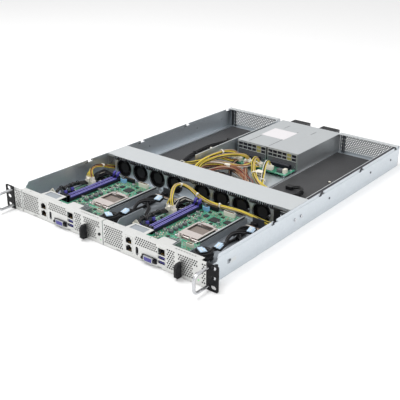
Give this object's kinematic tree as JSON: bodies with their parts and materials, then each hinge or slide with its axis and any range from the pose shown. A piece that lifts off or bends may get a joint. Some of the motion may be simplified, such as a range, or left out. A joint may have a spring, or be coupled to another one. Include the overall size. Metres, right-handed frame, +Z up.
{
  "type": "one-unit barebone server",
  "caption": "One-unit rack server with open top: two slide-in nodes, fan wall, redundant power supplies and empty drive bays.",
  "frame": {"origin": "centre of the chassis underside", "axes": "+X to the right seen from the front, +Y from front to rear, +Z up"},
  "size_m": [0.4826, 0.7125, 0.0435],
  "materials": {
    "galvanised_steel": "zinc plated sheet, satin",
    "bright_steel_cover": "pale zinc plated sheet, satin",
    "psu_steel": "plated sheet casing, satin",
    "screw_steel": "bright plated",
    "black_coated_steel": "black powder coat",
    "white_painted_steel": "pale grey sheet, satin",
    "polished_steel": "nickel plated bar",
    "fan_plastic": "black glass-filled plastic",
    "insulating_film": "black polycarbonate film",
    "board_green": "green solder mask",
    "yellow_wire": "yellow wire insulation",
    "black_wire": "black wire insulation",
    "latch_plastic": "dark green moulded plastic",
    "port_metal": "tin plated shells",
    "socket_steel": "stamped steel, satin",
    "blue_slot_plastic": "blue moulded plastic",
    "white_plug_nylon": "natural nylon",
    "black_tab_plastic": "black moulded plastic",
    "button_plastic": "grey moulded plastic"
  },
  "bodies": {
    "chassis": {"chassis_base": "galvanised_steel", "rear_panels": "galvanised_steel", "node_divider": "galvanised_steel", "chassis_screws": "screw_steel", "rack_ear_left": "black_coated_steel", "rack_ear_right": "black_coated_steel", "ear_handle_left": "polished_steel", "ear_handle_right": "polished_steel", "fan_wall": "galvanised_steel", "fan_bar": "bright_steel_cover", "fan_frames": "fan_plastic", "psu_cage": "bright_steel_cover", "psu_bay_wall": "galvanised_steel", "bay_insulators": "insulating_film", "power_board": "board_green", "right_harness": "yellow_wire", "left_harness": "yellow_wire", "rear_harness": "black_wire"},
    "fan_1": {"fan_rotor_1": "fan_plastic"},
    "fan_2": {"fan_rotor_2": "fan_plastic"},
    "fan_3": {"fan_rotor_3": "fan_plastic"},
    "fan_4": {"fan_rotor_4": "fan_plastic"},
    "fan_5": {"fan_rotor_5": "fan_plastic"},
    "fan_6": {"fan_rotor_6": "fan_plastic"},
    "fan_7": {"fan_rotor_7": "fan_plastic"},
    "fan_8": {"fan_rotor_8": "fan_plastic"},
    "psu_left": {"psu_module_left": "psu_steel"},
    "psu_latch_left": {"psu_latch_left": "latch_plastic"},
    "psu_fan_left": {"psu_rotor_left": "fan_plastic"},
    "psu_right": {"psu_module_right": "psu_steel"},
    "psu_latch_right": {"psu_latch_right": "latch_plastic"},
    "psu_fan_right": {"psu_rotor_right": "fan_plastic"},
    "tray_left": {"node_tray_left": "galvanised_steel", "front_panel_left": "white_painted_steel", "motherboard_left": "board_green", "io_ports_left": "port_metal", "cpu_socket_left": "socket_steel", "dimm_slots_left": "blue_slot_plastic", "power_plug_left": "white_plug_nylon", "pull_tab_left": "black_tab_plastic", "signal_cable_left": "black_wire"},
    "load_plate_left": {"load_plate_left": "socket_steel"},
    "socket_lever_left": {"socket_lever_left": "socket_steel"},
    "dimm_latch_outer_left": {"dimm_latch_outer_left": "blue_slot_plastic"},
    "dimm_latch_inner_left": {"dimm_latch_inner_left": "blue_slot_plastic"},
    "power_button_left": {"power_button_left": "button_plastic"},
    "tray_right": {"node_tray_right": "galvanised_steel", "front_panel_right": "white_painted_steel", "motherboard_right": "board_green", "io_ports_right": "port_metal", "cpu_socket_right": "socket_steel", "dimm_slots_right": "blue_slot_plastic", "power_plug_right": "white_plug_nylon", "pull_tab_right": "black_tab_plastic", "signal_cable_right": "black_wire"},
    "load_plate_right": {"load_plate_right": "socket_steel"},
    "socket_lever_right": {"socket_lever_right": "socket_steel"},
    "dimm_latch_outer_right": {"dimm_latch_outer_right": "blue_slot_plastic"},
    "dimm_latch_inner_right": {"dimm_latch_inner_right": "blue_slot_plastic"},
    "power_button_right": {"power_button_right": "button_plastic"}
  },
  "joints": [
    {"name": "fan_1_spin", "type": "hinge", "parent": "chassis", "child": "fan_1", "pos_m": [-0.173, -0.0802, 0.021], "axis": [0, 1, 0], "continuous": true},
    {"name": "fan_2_spin", "type": "hinge", "parent": "chassis", "child": "fan_2", "pos_m": [-0.129, -0.0802, 0.021], "axis": [0, 1, 0], "continuous": true},
    {"name": "fan_3_spin", "type": "hinge", "parent": "chassis", "child": "fan_3", "pos_m": [-0.085, -0.0802, 0.021], "axis": [0, 1, 0], "continuous": true},
    {"name": "fan_4_spin", "type": "hinge", "parent": "chassis", "child": "fan_4", "pos_m": [-0.041, -0.0802, 0.021], "axis": [0, 1, 0], "continuous": true},
    {"name": "fan_5_spin", "type": "hinge", "parent": "chassis", "child": "fan_5", "pos_m": [0.025, -0.0802, 0.021], "axis": [0, 1, 0], "continuous": true},
    {"name": "fan_6_spin", "type": "hinge", "parent": "chassis", "child": "fan_6", "pos_m": [0.069, -0.0802, 0.021], "axis": [0, 1, 0], "continuous": true},
    {"name": "fan_7_spin", "type": "hinge", "parent": "chassis", "child": "fan_7", "pos_m": [0.113, -0.0802, 0.021], "axis": [0, 1, 0], "continuous": true},
    {"name": "fan_8_spin", "type": "hinge", "parent": "chassis", "child": "fan_8", "pos_m": [0.157, -0.0802, 0.021], "axis": [0, 1, 0], "continuous": true},
    {"name": "psu_left_slide", "type": "slide", "parent": "chassis", "child": "psu_left", "axis": [0, 1, 0], "range_m": [0, 0.16]},
    {"name": "psu_left_latch", "type": "slide", "parent": "psu_left", "child": "psu_latch_left", "axis": [1, 0, 0], "range_m": [0, 0.003], "stiffness_N_per_m": 400},
    {"name": "psu_left_fan_spin", "type": "hinge", "parent": "psu_left", "child": "psu_fan_left", "pos_m": [-0.0165, 0.31, 0.0209], "axis": [0, 1, 0], "continuous": true},
    {"name": "psu_right_slide", "type": "slide", "parent": "chassis", "child": "psu_right", "axis": [0, 1, 0], "range_m": [0, 0.16]},
    {"name": "psu_right_latch", "type": "slide", "parent": "psu_right", "child": "psu_latch_right", "axis": [1, 0, 0], "range_m": [0, 0.003], "stiffness_N_per_m": 400},
    {"name": "psu_right_fan_spin", "type": "hinge", "parent": "psu_right", "child": "psu_fan_right", "pos_m": [0.0585, 0.31, 0.0209], "axis": [0, 1, 0], "continuous": true},
    {"name": "tray_left_slide", "type": "slide", "parent": "chassis", "child": "tray_left", "axis": [0, -1, 0], "range_m": [0, 0.05], "deforming": ["left_harness"]},
    {"name": "socket_lever_left_turn", "type": "hinge", "parent": "tray_left", "child": "socket_lever_left", "pos_m": [-0.0975, -0.236, 0.012], "axis": [1, 0, 0], "range_deg": [0, 135]},
    {"name": "load_plate_left_turn", "type": "hinge", "parent": "tray_left", "child": "load_plate_left", "pos_m": [-0.0975, -0.176, 0.012], "axis": [-1, 0, 0], "range_deg": [0, 110]},
    {"name": "dimm_latch_outer_left_turn", "type": "hinge", "parent": "tray_left", "child": "dimm_latch_outer_left", "pos_m": [-0.1665, -0.1285, 0.013], "axis": [-1, 0, 0], "range_deg": [0, 30]},
    {"name": "dimm_latch_inner_left_turn", "type": "hinge", "parent": "tray_left", "child": "dimm_latch_inner_left", "pos_m": [-0.1569, -0.1285, 0.013], "axis": [-1, 0, 0], "range_deg": [0, 30]},
    {"name": "power_button_left_press", "type": "slide", "parent": "tray_left", "child": "power_button_left", "axis": [0, 1, 0], "range_m": [0, 0.0012], "stiffness_N_per_m": 300},
    {"name": "tray_right_slide", "type": "slide", "parent": "chassis", "child": "tray_right", "axis": [0, -1, 0], "range_m": [0, 0.05], "deforming": ["right_harness"]},
    {"name": "socket_lever_right_turn", "type": "hinge", "parent": "tray_right", "child": "socket_lever_right", "pos_m": [0.1065, -0.236, 0.012], "axis": [1, 0, 0], "range_deg": [0, 135]},
    {"name": "load_plate_right_turn", "type": "hinge", "parent": "tray_right", "child": "load_plate_right", "pos_m": [0.1065, -0.176, 0.012], "axis": [-1, 0, 0], "range_deg": [0, 110]},
    {"name": "dimm_latch_outer_right_turn", "type": "hinge", "parent": "tray_right", "child": "dimm_latch_outer_right", "pos_m": [0.0375, -0.1285, 0.013], "axis": [-1, 0, 0], "range_deg": [0, 30]},
    {"name": "dimm_latch_inner_right_turn", "type": "hinge", "parent": "tray_right", "child": "dimm_latch_inner_right", "pos_m": [0.0471, -0.1285, 0.013], "axis": [-1, 0, 0], "range_deg": [0, 30]},
    {"name": "power_button_right_press", "type": "slide", "parent": "tray_right", "child": "power_button_right", "axis": [0, 1, 0], "range_m": [0, 0.0012], "stiffness_N_per_m": 300}
  ],
  "couplings": [
    {"joint": "load_plate_left_turn", "follows": "socket_lever_left_turn", "ratio": 0.8},
    {"joint": "load_plate_right_turn", "follows": "socket_lever_right_turn", "ratio": 0.8}
  ]
}
